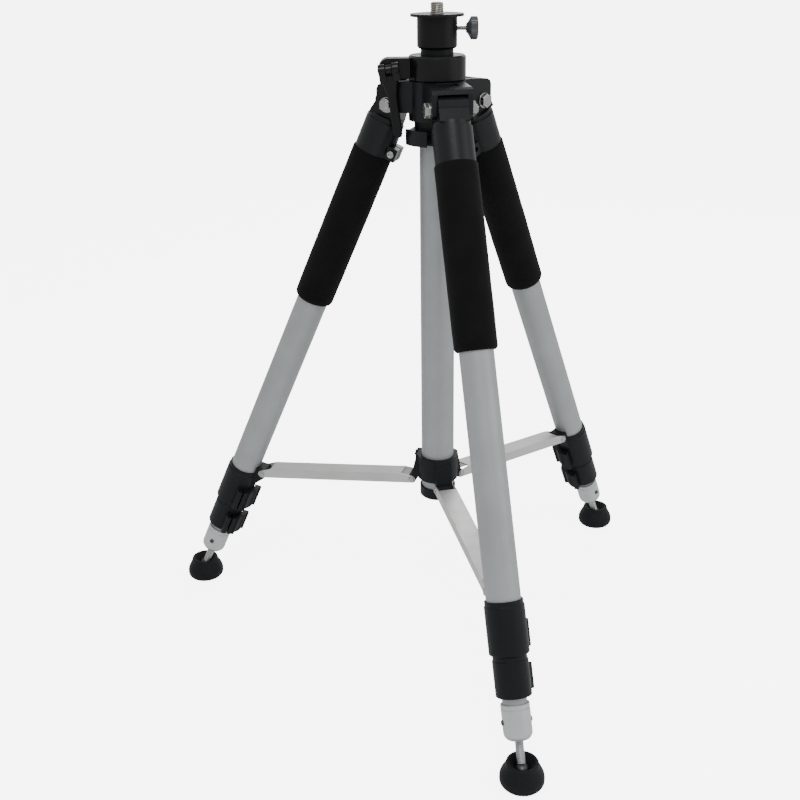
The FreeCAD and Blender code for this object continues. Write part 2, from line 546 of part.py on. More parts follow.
screw_line = (0.0, 0.0, HUB_HEIGHT + HUB_SCREW_UP)
boss = rod("x", HUB_BOSS_RADIUS, OUTER_RADIUS, HUB_BOSS_OUT, screw_line)
hub = hub.fuse(turn(boss, "z", HUB_SCREW_TURN))
hub = hub.cut(rod("z", OUTER_RADIUS + SLIDE_CLEAR, HUB_HEIGHT - 40.0, HUB_HEIGHT + 40.0))
hub = hub.cut(turn(rod("x", HUB_SCREW_RADIUS + SHAFT_CLEAR, 10.0, 60.0, screw_line), "z", HUB_SCREW_TURN))
for leg in range(3):
    hub = hub.cut(around(rod("y", PIVOT_PIN_RADIUS, -20.0, 20.0, pin_line), leg))
save("spreader_hub", hub.removeSplitter())
save("hub_pins", Part.makeCompound(hub_pins))

hub_knob_start = HUB_BOSS_OUT + SLIDE_CLEAR
hub_screw = joined([
    rod("x", HUB_SCREW_RADIUS, OUTER_RADIUS + SLIDE_CLEAR + SIDE_CLEAR, hub_knob_start + 1.0, screw_line),
    rod("x", HUB_KNOB_RADIUS, hub_knob_start, hub_knob_start + HUB_KNOB_THICK, screw_line)])
save("hub_lock_screw", turn(hub_screw, "z", HUB_SCREW_TURN))

far_line = (ARM_LENGTH, 0.0, 0.0)
arm_side = side_plate([(0.0, -ARM_EAR_RADIUS), (ARM_LENGTH, -ARM_EAR_RADIUS), (ARM_LENGTH, ARM_EAR_RADIUS),
                       (ARM_LENGTH - ARM_WEB_BACK, ARM_TOP), (ARM_WEB_BACK, ARM_TOP), (0.0, ARM_EAR_RADIUS)],
                      ARM_HALF_WIDTH)
arm = joined([arm_side, rod("y", ARM_EAR_RADIUS, -ARM_HALF_WIDTH, ARM_HALF_WIDTH),
              rod("y", ARM_EAR_RADIUS, -ARM_HALF_WIDTH, ARM_HALF_WIDTH, far_line)])
channel_inside = ARM_HALF_WIDTH - ARM_SHEET
arm = arm.cut(block((-20.0, ARM_LENGTH + 20.0), (-channel_inside, channel_inside),
                    (-20.0, ARM_TOP - ARM_SHEET)))
arm = arm.cut(block((-20.0, ARM_WEB_BACK), (-channel_inside, channel_inside), (-20.0, ARM_TOP + 1.0)))
arm = arm.cut(block((ARM_LENGTH - ARM_WEB_BACK, ARM_LENGTH + 20.0), (-channel_inside, channel_inside),
                    (-20.0, ARM_TOP + 1.0)))
arm = arm.cut(rod("y", PIVOT_PIN_RADIUS + SHAFT_CLEAR, -20.0, 20.0))
rivet_out = ARM_HALF_WIDTH + PIVOT_HEAD_THICK
arm = joined([arm, rod("y", PIVOT_HEAD_RADIUS, ARM_HALF_WIDTH, rivet_out, far_line),
              rod("y", PIVOT_HEAD_RADIUS, -rivet_out, -ARM_HALF_WIDTH, far_line)])
for leg in range(3):
    placed = shift(turn(arm, "y", ARM_DROP), HUB_PIVOT_RADIUS, 0.0, HUB_HEIGHT)
    save("arm_" + str(leg + 1), around(placed, leg))

# ---- leg casting, screw and grip ----
pinch_line = (-PINCH_IN, 0.0, -PINCH_AT)
casting = joined([
    rod("y", KNUCKLE_RADIUS, -KNUCKLE_HALF_WIDTH, KNUCKLE_HALF_WIDTH),
    side_plate(KNUCKLE_BROW, KNUCKLE_HALF_WIDTH),
    side_plate([(-KNUCKLE_RADIUS, 0.0), (-SLEEVE_STEP_RADIUS + 3.0, -SLEEVE_TOP - 2.0),
                (SLEEVE_STEP_RADIUS - 3.0, -SLEEVE_TOP - 2.0), (KNUCKLE_RADIUS, 0.0)], KNUCKLE_HALF_WIDTH),
    down_leg(SLEEVE_STEP_RADIUS, SLEEVE_TOP, SLEEVE_TOP + SLEEVE_STEP),
    down_leg(SLEEVE_RADIUS, SLEEVE_TOP + SLEEVE_STEP, SLEEVE_BOTTOM),
    block((-PINCH_LUG_IN, -UPPER_RADIUS + 2.0), (-PINCH_LUG_HALF_WIDTH, PINCH_LUG_HALF_WIDTH),
          (-SLEEVE_BOTTOM, -SLEEVE_BOTTOM + 16.0))])
casting = casting.cut(down_leg(UPPER_RADIUS, TUBE_TOP, SLEEVE_BOTTOM + 1.0))
casting = casting.cut(block((-PINCH_LUG_IN - 1.0, -UPPER_RADIUS + 4.0), (-PINCH_SLIT / 2.0, PINCH_SLIT / 2.0),
                            (-SLEEVE_BOTTOM - 1.0, -TUBE_TOP - 1.0)))
casting = casting.cut(rod("y", HINGE_BOLT_RADIUS + SHAFT_CLEAR, -30.0, 30.0))
casting = casting.cut(rod("y", PINCH_SCREW_RADIUS, -30.0, 30.0, pinch_line))

lug_face = PINCH_LUG_HALF_WIDTH
pinch = rod("y", PINCH_SCREW_RADIUS, -lug_face + 1.0, lug_face + 1.0, pinch_line)
pinch = pinch.fuse(rod("y", PINCH_HEAD_RADIUS, lug_face, lug_face + PINCH_HEAD_THICK, pinch_line))
pinch_out = lug_face + PINCH_HEAD_THICK
pinch = pinch.cut(hexagon("y", PINCH_HEX_FLATS, lug_face + 1.5, pinch_out + 1.0, pinch_line))

grip = pipe(GRIP_RADIUS, UPPER_RADIUS, -GRIP_BOTTOM, -GRIP_TOP)
grip = rounded(grip, GRIP_RADIUS, -GRIP_BOTTOM, GRIP_ROUND)

# ---- section clamps and their latches ----


def section_clamp(radius, top, bottom, tube_radius, tube_end, inner_radius):
    """A collar glued on the end of one tube that grips the next tube inside it."""
    collar = turned([(0, -top), (radius - CLAMP_RIM, -top), (radius - CLAMP_RIM, -top - CLAMP_RIM_LENGTH),
                     (radius, -top - CLAMP_RIM_LENGTH - CLAMP_RIM), (radius, -bottom + 1.0),
                     (radius - 1.0, -bottom), (0, -bottom)])
    latch_low = -bottom + 2.0
    latch_high = -tube_end - 1.0
    ear = block((inner_radius, radius + LATCH_OUT), (-LATCH_HALF_WIDTH, LATCH_HALF_WIDTH),
                (latch_low, latch_high))
    collar = joined([collar, turn(ear, "z", LATCH_TURN)])
    collar = collar.cut(down_leg(tube_radius, top - 1.0, tube_end))
    collar = collar.cut(down_leg(inner_radius + SLIDE_CLEAR, tube_end - 1.0, bottom + 1.0))
    slit = block((0.0, radius + LATCH_OUT + 1.0), (-LATCH_SLIT / 2.0, LATCH_SLIT / 2.0),
                 (-bottom - 1.0, latch_high))
    return collar.cut(turn(slit, "z", LATCH_TURN))


def latch(radius, bottom, tube_end):
    """A flip lever that wraps round the collar from its pin."""
    low = -bottom + 2.0
    high = -tube_end - 1.0
    inner = radius + SLIDE_CLEAR
    pin_line = (radius + LATCH_OUT - LATCH_THICK / 2.0, LATCH_PIN_SIDE, 0.0)
    wrap = pipe(inner + LATCH_WRAP, inner, low, high)
    wedge_far = 3.0 * radius
    wedge = Part.Face(Part.makePolygon([
        FreeCAD.Vector(0, 0, low - 1.0), FreeCAD.Vector(wedge_far, 0, low - 1.0),
        FreeCAD.Vector(wedge_far * math.cos(math.radians(LATCH_SWEEP)),
                       wedge_far * math.sin(math.radians(LATCH_SWEEP)), low - 1.0),
        FreeCAD.Vector(0, 0, low - 1.0)])).extrude(FreeCAD.Vector(0, 0, high - low + 2.0))
    start = math.degrees(math.asin((LATCH_HALF_WIDTH + SIDE_CLEAR) / inner))
    wrap = wrap.common(turn(wedge, "z", start))
    head = block((inner + 0.5, pin_line[0]),
                 (LATCH_HALF_WIDTH + SIDE_CLEAR, LATCH_PIN_SIDE + LATCH_THICK / 2.0), (low, high))
    knuckle = rod("z", LATCH_THICK / 2.0, low, high, pin_line)
    tab = block((inner + 1.0, inner + LATCH_TAB), (-LATCH_WRAP, 0.0), (low, high))
    tab = turn(tab, "z", start + LATCH_SWEEP)
    return turn(joined([wrap, head, knuckle, tab]), "z", LATCH_TURN)


upper_clamp = section_clamp(UPPER_CLAMP_RADIUS, UPPER_CLAMP_TOP, UPPER_CLAMP_BOTTOM, UPPER_RADIUS,
                            UPPER_END, MID_RADIUS)
pivot_line = (-ARM_PIVOT_IN, 0.0, -ARM_PIVOT_AT)
lug_plate = side_plate([(-ARM_PIVOT_IN - LUG_END_RADIUS, -ARM_PIVOT_AT),
                        (-ARM_PIVOT_IN - LUG_END_RADIUS + 1.0, -ARM_PIVOT_AT - 6.0),
                        (-UPPER_RADIUS, -UPPER_CLAMP_TOP - 22.0),
                        (-UPPER_RADIUS + 1.5, -UPPER_CLAMP_TOP - 22.0),
                        (-UPPER_RADIUS + 1.5, -ARM_PIVOT_AT + 4.0),
                        (-ARM_PIVOT_IN + 2.0, -ARM_PIVOT_AT + LUG_END_RADIUS - 0.3)], ARM_TONGUE)
lug_plate = lug_plate.fuse(rod("y", LUG_END_RADIUS, -ARM_TONGUE, ARM_TONGUE, pivot_line))
lug_plate = lug_plate.cut(down_leg(UPPER_RADIUS, ARM_PIVOT_AT - 20.0, UPPER_END))
upper_clamp = joined([upper_clamp, lug_plate])
lower_clamp = section_clamp(LOWER_CLAMP_RADIUS, LOWER_CLAMP_TOP, LOWER_CLAMP_BOTTOM, MID_RADIUS,
                            MID_END, LOWER_RADIUS)
upper_latch = latch(UPPER_CLAMP_RADIUS, UPPER_CLAMP_BOTTOM, UPPER_END)
lower_latch = latch(LOWER_CLAMP_RADIUS, LOWER_CLAMP_BOTTOM, MID_END)

# ---- ferrule, rod, ball and rubber foot ----
ferrule = turned([(0, -FERRULE_TOP), (FERRULE_RADIUS, -FERRULE_TOP),
                  (FERRULE_RADIUS, -FERRULE_BOTTOM + FERRULE_CHAMFER),
                  (FERRULE_RADIUS - FERRULE_CHAMFER, -FERRULE_BOTTOM), (0, -FERRULE_BOTTOM)])
ferrule = ferrule.cut(down_leg(LOWER_RADIUS, FERRULE_TOP - 1.0, LOWER_END))
ferrule = ferrule.cut(down_leg(ROD_RADIUS, FERRULE_TOP, FERRULE_BOTTOM + 1.0))
foot_rod = joined([down_leg(ROD_RADIUS, FERRULE_BOTTOM - ROD_IN, LEG_REACH),
                   Part.makeSphere(BALL_RADIUS, FreeCAD.Vector(0, 0, -LEG_REACH))])

socket_radius = BALL_RADIUS + BALL_CLEAR
neck_height = BALL_HEIGHT + SOCKET_ABOVE_BALL
neck_radius = math.sqrt(socket_radius ** 2 - SOCKET_ABOVE_BALL ** 2)
rubber = turned([(0, 0), (FOOT_SOLE_RADIUS, 0), (FOOT_BASE_RADIUS, FOOT_WIDE_LOW),
                 (FOOT_BASE_RADIUS, FOOT_WIDE_HIGH),
                 (FOOT_RIM_RADIUS + 1.2, FOOT_HEIGHT - FOOT_SHOULDER), (FOOT_RIM_RADIUS, FOOT_HEIGHT),
                 (FOOT_MOUTH_RADIUS, FOOT_HEIGHT), (neck_radius, neck_height), (0, neck_height)])
rubber = rubber.cut(Part.makeSphere(socket_radius, FreeCAD.Vector(0, 0, BALL_HEIGHT)))

# ---- the three legs ----
LEG_NODES = {
    "leg_casting": casting, "pinch_screw": pinch, "foam_grip": grip,
    "upper_tube": pipe(UPPER_RADIUS, UPPER_RADIUS - TUBE_WALL, -UPPER_END, -TUBE_TOP),
    "upper_clamp": upper_clamp, "upper_latch": upper_latch,
    "mid_tube": pipe(MID_RADIUS, MID_RADIUS - TUBE_WALL, -MID_END, -MID_TOP),
    "lower_clamp": lower_clamp, "lower_latch": lower_latch,
    "lower_tube": pipe(LOWER_RADIUS, LOWER_RADIUS - TUBE_WALL, -LOWER_END, -LOWER_TOP),
    "end_ferrule": ferrule, "foot_rod": foot_rod}
for leg in range(3):
    for name, shape in LEG_NODES.items():
        save(name + "_" + str(leg + 1), on_leg(shape, leg))
    save("rubber_foot_" + str(leg + 1), around(shift(rubber, FOOT_CENTRE), leg))
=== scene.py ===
import json
import math

import bpy
from mathutils import Matrix, Vector


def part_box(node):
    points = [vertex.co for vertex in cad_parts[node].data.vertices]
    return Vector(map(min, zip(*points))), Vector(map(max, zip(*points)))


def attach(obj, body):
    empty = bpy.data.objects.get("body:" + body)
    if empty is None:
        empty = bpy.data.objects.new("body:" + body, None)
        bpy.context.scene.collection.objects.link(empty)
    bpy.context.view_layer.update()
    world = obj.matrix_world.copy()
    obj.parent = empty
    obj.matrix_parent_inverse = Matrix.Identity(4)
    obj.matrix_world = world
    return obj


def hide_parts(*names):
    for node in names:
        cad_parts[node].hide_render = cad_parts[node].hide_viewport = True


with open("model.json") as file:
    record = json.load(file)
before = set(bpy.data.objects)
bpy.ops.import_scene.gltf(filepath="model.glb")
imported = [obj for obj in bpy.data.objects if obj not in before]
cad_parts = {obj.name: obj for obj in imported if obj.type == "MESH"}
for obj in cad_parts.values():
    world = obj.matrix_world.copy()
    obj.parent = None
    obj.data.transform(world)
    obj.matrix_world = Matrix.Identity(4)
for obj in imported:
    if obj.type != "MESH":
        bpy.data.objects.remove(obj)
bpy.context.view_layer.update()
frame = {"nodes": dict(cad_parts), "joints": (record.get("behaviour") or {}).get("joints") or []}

# Tripod for a laser level. Metres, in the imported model's frame: Z up, leg 1 towards -Y.

# ---- sizes shared by the pieces ----
STUD_RADIUS = 0.0079375
STUD_PITCH = 0.0254 / 11
STUD_THREAD_DEPTH = 0.0011
SHANK_RADIUS = 0.0025
SHANK_PITCH = 0.0008
KNOB_RADIUS = 0.013
KNOB_THICK = 0.014
HUB_KNOB_RADIUS = 0.0075
HUB_KNOB_THICK = 0.010
EAR_HALF_WIDTH = 0.024
WASHER_RADIUS = 0.009
WASHER_THICK = 0.0015
HEX_RADIUS = 0.0086
HEX_THICK = 0.0050
BOLT_RADIUS = 0.005
BOLT_PITCH = 0.0015
GRIP_RADIUS = 0.025
UPPER_TUBE_RADIUS = 0.020
GRIP_TOP = 0.0626
GRIP_BOTTOM = 0.2749
FERRULE_RADIUS = 0.0165
FERRULE_TOP = 0.6686
FERRULE_BOTTOM = 0.7086
LOWER_TUBE_RADIUS = 0.014
BALL_AT = 0.7434
BALL_RADIUS = 0.009
ROD_IN = 0.030
FOOT_BASE_RADIUS = 0.0255
FOOT_RIM_RADIUS = 0.018
FOOT_MOUTH_RADIUS = 0.015
FOOT_HEIGHT = 0.030
SOCKET_RADIUS = 0.0093
PINCH_IN = 0.025
PINCH_AT = 0.054
PINCH_HALF = 0.014
PINCH_HEAD_RADIUS = 0.0043
PINCH_HEAD_THICK = 0.004
ARM_HALF_WIDTH = 0.0125
ARM_LENGTH = 0.218703
ARM_DROP = math.radians(5.4)
RIVET_RADIUS = 0.004
LATCH_TURN = math.radians(125.0)
LATCH_PIN_OFF = 0.0073
UPPER_LATCH = (0.023, 0.5810, 0.6110)      # seat radius, top and bottom down the leg
LOWER_LATCH = (0.0205, 0.6305, 0.6587)
RIB_OUT = 0.0067
RIB_RADIUS = 0.0009
RIB_STEP = math.radians(4.6)
DRUM_RADIUS = 0.0232
KNOB_OFF_DRUM = 0.010
HUB_KNOB_OUT = 0.0311
CAM_START = 0.0075
CAM_LENGTH = 0.078
CAM_CHEEK_IN = 0.0039
CAM_CHEEK_OUT = 0.0119
BALL_EXPOSED = 0.7
LEGS = (1, 2, 3)
ROUND = 48


# ---- places read from the frame ----
def joint(name):
    return next(j for j in frame["joints"] if j["name"] == name)


def axes_at(origin, x_axis, z_axis):
    """A matrix whose X and Z axes point as given, with its origin at a point."""
    z_axis = Vector(z_axis).normalized()
    y_axis = z_axis.cross(Vector(x_axis)).normalized()
    x_axis = y_axis.cross(z_axis)
    turn = Matrix((x_axis, y_axis, z_axis)).transposed().to_4x4()
    return Matrix.Translation(Vector(origin)) @ turn


def leg_place(leg):
    """Z runs up the leg from its hinge, Y along the hinge and X outwards."""
    hinge = joint(f"leg_fold_{leg}")
    up = -Vector(joint(f"mid_slide_{leg}")["axis"])
    out = Vector(hinge["axis"]).cross(up)
    return axes_at(hinge["pos_m"], out, up)


def hinge_place(leg):
    """Z runs along the leg's hinge bolt."""
    hinge = joint(f"leg_fold_{leg}")
    return axes_at(hinge["pos_m"], (0, 0, 1), hinge["axis"])


# ---- shader building ----
class Wire:
    """A shader socket that takes part in arithmetic."""

    def __init__(self, finish, socket):
        self.finish = finish
        self.socket = socket

    def with_math(self, operation, first, second):
        return self.finish.node("ShaderNodeMath", {"operation": operation}, {0: first, 1: second})[0]

    def __add__(self, other):
        return self.with_math("ADD", self, other)

    def __sub__(self, other):
        return self.with_math("SUBTRACT", self, other)

    def __rsub__(self, other):
        return self.with_math("SUBTRACT", other, self)

    def __mul__(self, other):
        return self.with_math("MULTIPLY", self, other)

    __radd__ = __add__
    __rmul__ = __mul__


class Finish:
    """One procedural material."""

    def __init__(self, name):
        self.material = bpy.data.materials.new(name)
        self.material.use_nodes = True
        self.tree = self.material.node_tree
        self.shader = self.tree.nodes["Principled BSDF"]

    def node(self, kind, settings=None, inputs=None):
        made = self.tree.nodes.new(kind)
        for key, value in (settings or {}).items():
            if key == "stops":
                for element, (place, shade) in zip(made.color_ramp.elements, value):
                    element.position = place
                    element.color = (shade, shade, shade, 1.0)
            else:
                setattr(made, key, value)
        for key, value in (inputs or {}).items():
            self.feed(made.inputs[key], value)
        return [Wire(self, socket) for socket in made.outputs]

    def feed(self, socket, value):
        if isinstance(value, Wire):
            self.tree.links.new(value.socket, socket)
        else:
            socket.default_value = value

    def surface(self, values):
        for key, value in values.items():
            self.feed(self.shader.inputs[key], value)

    def object_point(self, along=None, stretch=1.0):
        """Object coordinates, with the pattern drawn out along one direction where given."""
        point = self.node("ShaderNodeTexCoord")[3]
        if along is None:
            return point
        turn = Vector(along).rotation_difference(Vector((0, 0, 1))).to_euler()
        scale = (1.0, 1.0, 1.0 / stretch)
        turned = self.node("ShaderNodeMapping", None, {"Vector": point, "Rotation": turn})[0]
        return self.node("ShaderNodeMapping", None, {"Vector": turned, "Scale": scale})[0]

    def noise(self, point, scale, detail=3.0, roughness=0.55):
        return self.node("ShaderNodeTexNoise", None,
                         {"Vector": point, "Scale": scale, "Detail": detail, "Roughness": roughness})[0]

    def step(self, value, low, high):
        """0 below low, 1 above high."""
        return self.node("ShaderNodeMapRange", {"interpolation_type": "SMOOTHSTEP"},
                         {"Value": value, "From Min": low, "From Max": high})[0]

    def blend(self, mask, first, second):
        return self.node("ShaderNodeMix", {"data_type": "RGBA"},
                         {"Factor": mask, 6: (*first, 1.0) if isinstance(first, tuple) else first,
                          7: (*second, 1.0) if isinstance(second, tuple) else second})[2]

    def soft_edges(self, radius):
        """The normal rounded over sharp edges, and a mask that is 1 on those edges."""
        rounded = self.node("ShaderNodeBevel", {"samples": 4}, {"Radius": radius})[0]
        flat = self.node("ShaderNodeNewGeometry")[1]
        match = self.node("ShaderNodeVectorMath", {"operation": "DOT_PRODUCT"}, {0: rounded, 1: flat})[1]
        return rounded, self.step(1.0 - match, 0.004, 0.09)

    def bump(self, height, depth, normal=None):
        inputs = {"Height": height, "Strength": 1.0, "Distance": depth}
        if normal is not None:
            inputs["Normal"] = normal
        return self.node("ShaderNodeBump", None, inputs)[0]


def coated(name, colour, worn, roughness, metallic=0.0, grain=900.0, depth=0.00004, edge=0.0006,
           along=None, stretch=1.0, wear=0.5, coat=0.0, specular=0.5):
    """A base colour with broad mottling, fine grain, and lighter rubbed edges."""
    finish = Finish(name)
    point = finish.object_point(along, stretch)
    plain = finish.object_point()
    fine = finish.noise(point, grain, 2.0)
    broad = finish.noise(plain, 22.0, 4.0)
    handling = finish.noise(plain, 70.0, 5.0, 0.65)
    normal, edges = finish.soft_edges(edge)
    rubbed = edges * finish.step(handling, 0.35, 0.7) * wear
    light = tuple(min(1.0, c * 1.05) for c in colour)
    dark = tuple(c * 0.95 for c in colour)
    base = finish.blend(finish.step(broad, 0.3, 0.7), dark, light)
    finish.surface({
        "Base Color": finish.blend(rubbed, base, worn),
        "Roughness": (handling - 0.5) * 0.22 + (fine - 0.5) * 0.08 + roughness,
        "Metallic": metallic,
        "Coat Weight": coat,
        "Coat Roughness": 0.12,
        "Specular IOR Level": specular,
        "Normal": finish.bump(fine, depth, normal)})
    return finish.material


def drawn_tube(name, along):
    """Satin anodised tube, with faint draw lines along it."""
    return coated(name, (0.262, 0.277, 0.280), (0.36, 0.37, 0.375), 0.48, metallic=0.35, grain=1500.0,
                  depth=0.000012, edge=0.0003, along=along, stretch=60.0, wear=0.4)


def foam_finish():
    """Closed cell foam: dull, with fine open pores."""
    finish = Finish("foam_sleeve")
    point = finish.object_point()
    cells = finish.node("ShaderNodeTexVoronoi", {"feature": "F1"}, {"Vector": point, "Scale": 1400.0})[0]
    lumps = finish.noise(point, 260.0, 4.0)
    dust = finish.noise(point, 28.0, 5.0)
    pores = finish.step(cells, 0.05, 0.5)
    finish.surface({
        "Base Color": finish.blend(finish.step(dust, 0.35, 0.75), (0.0028, 0.0028, 0.0031),
                                   (0.0042, 0.0042, 0.0046)),
        "Roughness": 0.93 - pores * 0.08,
        "Specular IOR Level": 0.08,
        "Sheen Weight": 0.02,
        "Sheen Roughness": 0.5,
        "Normal": finish.bump(pores * 0.7 + lumps, 0.00012)})
    return finish.material


def floor_finish():
    """Pale studio floor that looks white but throws little light upwards."""
    finish = Finish("studio_floor")
    point = finish.object_point()
    shade = finish.step(finish.noise(point, 3.0, 3.0), 0.2, 0.8)
    seen = finish.node("ShaderNodeLightPath")[0]
    finish.surface({"Base Color": finish.blend(shade, (0.86, 0.86, 0.86), (0.89, 0.89, 0.89)),
                    "Roughness": 0.85, "Specular IOR Level": 0.2,
                    "Emission Color": finish.blend(seen, (0.0, 0.0, 0.0), (1.0, 1.0, 1.0)),
                    "Emission Strength": 5.6})
    return finish.material


CASTING = coated("painted_casting", (0.0032, 0.0038, 0.0048), (0.018, 0.020, 0.024), 0.40, grain=700.0,
                 depth=0.00005, edge=0.0011, wear=0.35, coat=0.03, specular=0.20)
GLOSS = coated("gloss_ring", (0.0030, 0.0030, 0.0034), (0.020, 0.020, 0.022), 0.26, grain=420.0,
               depth=0.00001, edge=0.0008, wear=0.25, coat=0.10, specular=0.15)
PLASTIC = coated("moulded_plastic", (0.0045, 0.0056, 0.0068), (0.020, 0.023, 0.026), 0.48, grain=1100.0,
                 depth=0.00005, edge=0.0008, wear=0.3, specular=0.14)
ADAPTER = coated("adapter_coat", (0.0035, 0.0034, 0.0034), (0.035, 0.035, 0.035), 0.40, grain=1600.0,
                 depth=0.00003, edge=0.0005, wear=0.4, specular=0.14)
KNOB = coated("knob_plastic", (0.030, 0.034, 0.040), (0.075, 0.08, 0.09), 0.45, grain=900.0, depth=0.00006,
              edge=0.0005, wear=0.3)
RUBBER = coated("foot_rubber", (0.0045, 0.0052, 0.0062), (0.014, 0.015, 0.017), 0.58, grain=650.0,
                depth=0.00009, edge=0.0006, wear=0.3, specular=0.14)
ZINC = coated("bright_zinc", (0.32, 0.32, 0.315), (0.60, 0.60, 0.59), 0.26, metallic=1.0, grain=500.0,
              depth=0.00002, edge=0.0003, wear=0.5)
STEEL = coated("stud_steel", (0.33, 0.32, 0.29), (0.55, 0.54, 0.50), 0.30, metallic=1.0, grain=800.0,
               depth=0.00002, edge=0.0002, wear=0.5)
DARK_STEEL = coated("dark_steel", (0.055, 0.057, 0.060), (0.3, 0.3, 0.3), 0.36, metallic=0.9, grain=700.0,
                    depth=0.00002, edge=0.0003, wear=0.4)
ROD = coated("dull_rod", (0.34, 0.35, 0.355), (0.5, 0.5, 0.5), 0.42, metallic=0.8, grain=800.0,
             depth=0.00002, edge=0.0002, wear=0.4)
FERRULE = coated("turned_ferrule", (0.40, 0.41, 0.415), (0.6, 0.6, 0.6), 0.40, metallic=0.5, grain=1300.0,
                 depth=0.00002, edge=0.0005, wear=0.4)
FOAM = foam_finish()
COLUMN_TUBE = drawn_tube("column_anodised", (0, 0, 1))
LEG_TUBE = {leg: drawn_tube(f"leg_anodised_{leg}", joint(f"mid_slide_{leg}")["axis"]) for leg in LEGS}


def arm_finish(leg):
    """Brushed channel, a little brighter than the tubes."""
    near = Vector(joint(f"arm_fold_{leg}")["pos_m"])
    return coated(f"brushed_channel_{leg}", (0.42, 0.42, 0.415), (0.55, 0.55, 0.55), 0.38, metallic=0.5,
                  grain=1300.0, depth=0.00002, edge=0.0004, along=Vector((near.x, near.y, 0)), stretch=40.0)


# ---- mesh building ----
def mesh_piece(name, vertices, faces, place=None, sharp=30.0):
    mesh = bpy.data.meshes.new(name)
    mesh.from_pydata(vertices, [], faces)
    if place is not None:
        mesh.transform(place)
    mesh.update()
    mesh.shade_smooth()
    mesh.set_sharp_from_angle(angle=math.radians(sharp))
    piece = bpy.data.objects.new(name, mesh)
    bpy.context.scene.collection.objects.link(piece)
    return piece


def settle(piece, body, slot, material, *replaced):
    """Rides on its body, takes its material, and stands for CAD nodes where given. The slot is not used."""
    piece.data.materials.clear()
    piece.data.materials.append(material)
    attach(piece, body)
    if replaced:
        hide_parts(*replaced)
    return piece


def rounded_outline(corners, steps=5):
    """An outline from radius, height, rounding triples, with each corner drawn as an arc."""
    points = []
    count = len(corners)
    for index, (r, z, size) in enumerate(corners):
        here = Vector((r, z))
        before = Vector(corners[index - 1][:2]) - here
        after = Vector(corners[(index + 1) % count][:2]) - here
        if size == 0.0 or index in (0, count - 1):
            points.append(here)
            continue
        reach = min(size, before.length * 0.45, after.length * 0.45)
        start = here + before.normalized() * reach
        end = here + after.normalized() * reach
        for step in range(steps + 1):
            t = step / steps
            points.append(start * (1 - t) ** 2 + here * (2 * t * (1 - t)) + end * t ** 2)
    return points


def lathe(name, corners, place=None, segments=ROUND, closed=False, shape=None, sharp=30.0):
    """Turns an outline about Z. closed joins its last point to its first, for a ring."""
    outline = rounded_outline(corners)
    vertices = []
    for point in outline:
        for side in range(segments):
            angle = 2.0 * math.pi * side / segments
            factor = shape(angle, point.x, point.y) if shape else 1.0
            vertices.append((point.x * factor * math.cos(angle), point.x * factor * math.sin(angle), point.y))
    faces = []
    rows = len(outline)
    for row in range(rows if closed else rows - 1):
        low = row * segments
        high = (row + 1) % rows * segments
        for side in range(segments):
            beside = (side + 1) % segments
            faces.append((low + side, low + beside, high + beside, high + side))
    if not closed:
        faces.append(tuple(reversed(range(segments))))
        faces.append(tuple(range((rows - 1) * segments, rows * segments)))
    return mesh_piece(name, vertices, faces, place, sharp)


def merge(name, pieces):
    """Joins several objects into the first and names the result."""
    bpy.ops.object.select_all(action="DESELECT")
    for piece in pieces:
        piece.select_set(True)
    bpy.context.view_layer.objects.active = pieces[0]
    if len(pieces) > 1:
        bpy.ops.object.join()
    pieces[0].name = name
    pieces[0].data.name = name
    return pieces[0]


# ---- geometry node trees ----
class Grower:
    """Builds one geometry node tree and bakes what it makes to plain meshes."""

    def __init__(self, name, sizes):
        self.tree = bpy.data.node_groups.new(name, "GeometryNodeTree")
        sockets = self.tree.interface
        sockets.new_socket(name="Geometry", in_out="INPUT", socket_type="NodeSocketGeometry")
        self.names = {}
        for size, kind in sizes.items():
            self.names[size] = sockets.new_socket(name=size, in_out="INPUT", socket_type=kind).identifier
        sockets.new_socket(name="Geometry", in_out="OUTPUT", socket_type="NodeSocketGeometry")
        self.entry = self.tree.nodes.new("NodeGroupInput")
        self.exit = self.tree.nodes.new("NodeGroupOutput")

    def node(self, kind, settings=None, inputs=None):
        made = self.tree.nodes.new(kind)
        for key, value in (settings or {}).items():
            setattr(made, key, value)
        for key, value in (inputs or {}).items():
            if isinstance(value, bpy.types.NodeSocket):
                self.tree.links.new(value, made.inputs[key])
            else:
                made.inputs[key].default_value = value
        return made.outputs

    def end(self, geometry):
        real = self.node("GeometryNodeRealizeInstances", None, {0: geometry})[0]
        painted = self.node("GeometryNodeSetMaterial", None,
                            {0: real, "Material": self.entry.outputs["Material"]})[0]
        self.tree.links.new(painted, self.exit.inputs[0])

    def bake(self, name, source, values, place=None, sharp=30.0):
        modifier = source.modifiers.new("grow", "NODES")
        modifier.node_group = self.tree
        for size, value in values.items():
            modifier[self.names[size]] = value
        shown = source.evaluated_get(bpy.context.evaluated_depsgraph_get())
        mesh = bpy.data.meshes.new_from_object(shown)
        source.modifiers.remove(modifier)
        bpy.data.objects.remove(source)
        if place is not None:
            mesh.transform(place)
        mesh.shade_smooth()
        mesh.set_sharp_from_angle(angle=math.radians(sharp))
        piece = bpy.data.objects.new(name, mesh)
        bpy.context.scene.collection.objects.link(piece)
        return piece


